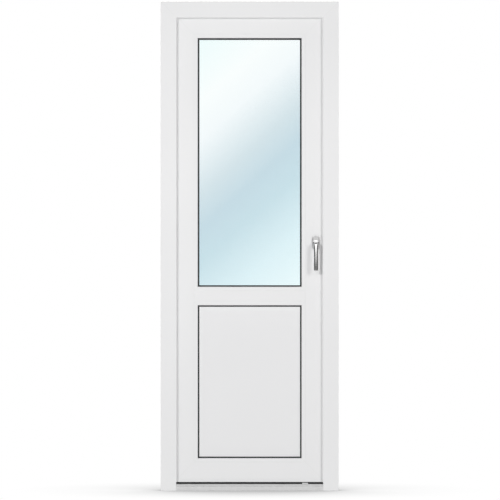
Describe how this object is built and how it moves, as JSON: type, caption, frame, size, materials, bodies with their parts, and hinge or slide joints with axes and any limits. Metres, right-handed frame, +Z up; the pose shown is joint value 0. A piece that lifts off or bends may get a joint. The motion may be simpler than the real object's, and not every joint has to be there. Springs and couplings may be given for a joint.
{
  "type": "balcony door",
  "caption": "Outward-opening white plastic balcony door with a glazed upper part, a solid lower panel, a lever handle and a low metal threshold.",
  "frame": {"origin": "on the underside of the threshold, at the middle of the door's width and of the frame's depth", "axes": "+Z up, -Y towards the room, +Y outdoors, +X towards the lock side"},
  "size_m": [0.8, 0.138, 2.2],
  "materials": {
    "white_upvc": "smooth white plastic profile, semi-matt",
    "white_panel": "smooth white plastic panel skin, semi-matt",
    "black_gasket": "black rubber, matt",
    "grey_seal": "light grey soft rubber, matt",
    "clear_glass": "clear float glass with a faint blue-green tint",
    "spacer_metal": "matt silver spacer",
    "threshold_metal": "satin anodised silver",
    "zinc_steel": "zinc-plated steel",
    "grey_plastic": "light grey moulded plastic",
    "satin_metal": "satin silver plated metal",
    "spindle_steel": "zinc-plated square bar",
    "white_hinge": "white powder-coated metal",
    "hinge_pin_steel": "turned steel"
  },
  "bodies": {
    "frame": {"hinge_jamb": "white_upvc", "lock_jamb": "white_upvc", "frame_head": "white_upvc", "threshold": "threshold_metal", "frame_seal": "grey_seal", "threshold_block": "grey_plastic", "keep_bottom": "zinc_steel", "keep_middle": "zinc_steel", "keep_top": "zinc_steel", "hinge_bottom_frame_part": "white_hinge", "hinge_bottom_pin": "hinge_pin_steel", "hinge_middle_frame_part": "white_hinge", "hinge_middle_pin": "hinge_pin_steel", "hinge_top_frame_part": "white_hinge", "hinge_top_pin": "hinge_pin_steel"},
    "leaf": {"hinge_stile": "white_upvc", "lock_stile": "white_upvc", "top_rail": "white_upvc", "bottom_rail": "white_upvc", "transom": "white_upvc", "glass_bead_left": "white_upvc", "glass_bead_right": "white_upvc", "glass_bead_top": "white_upvc", "glass_bead_bottom": "white_upvc", "panel_bead_left": "white_upvc", "panel_bead_right": "white_upvc", "panel_bead_top": "white_upvc", "panel_bead_bottom": "white_upvc", "lower_panel": "white_panel", "glass_gasket_inside": "black_gasket", "glass_gasket_outside": "black_gasket", "panel_gasket_inside": "black_gasket", "panel_gasket_outside": "black_gasket", "bottom_seal": "black_gasket", "leaf_seal": "grey_seal", "glass_pane_inside": "clear_glass", "glass_pane_outside": "clear_glass", "glass_spacer": "spacer_metal", "lock_faceplate": "zinc_steel", "handle_rose": "satin_metal", "hinge_bottom_leaf_part": "white_hinge", "hinge_middle_leaf_part": "white_hinge", "hinge_top_leaf_part": "white_hinge"},
    "handle": {"handle_lever": "satin_metal", "handle_spindle": "spindle_steel"}
  },
  "joints": [
    {"name": "leaf_swing", "type": "hinge", "parent": "frame", "child": "leaf", "pos_m": [-0.361, 0.06, 1.1], "axis": [0, 0, 1], "range_deg": [0, 100]},
    {"name": "handle_turn", "type": "hinge", "parent": "leaf", "child": "handle", "pos_m": [0.298, -0.018, 1.114], "axis": [0, 1, 0], "range_deg": [0, 90]}
  ]
}
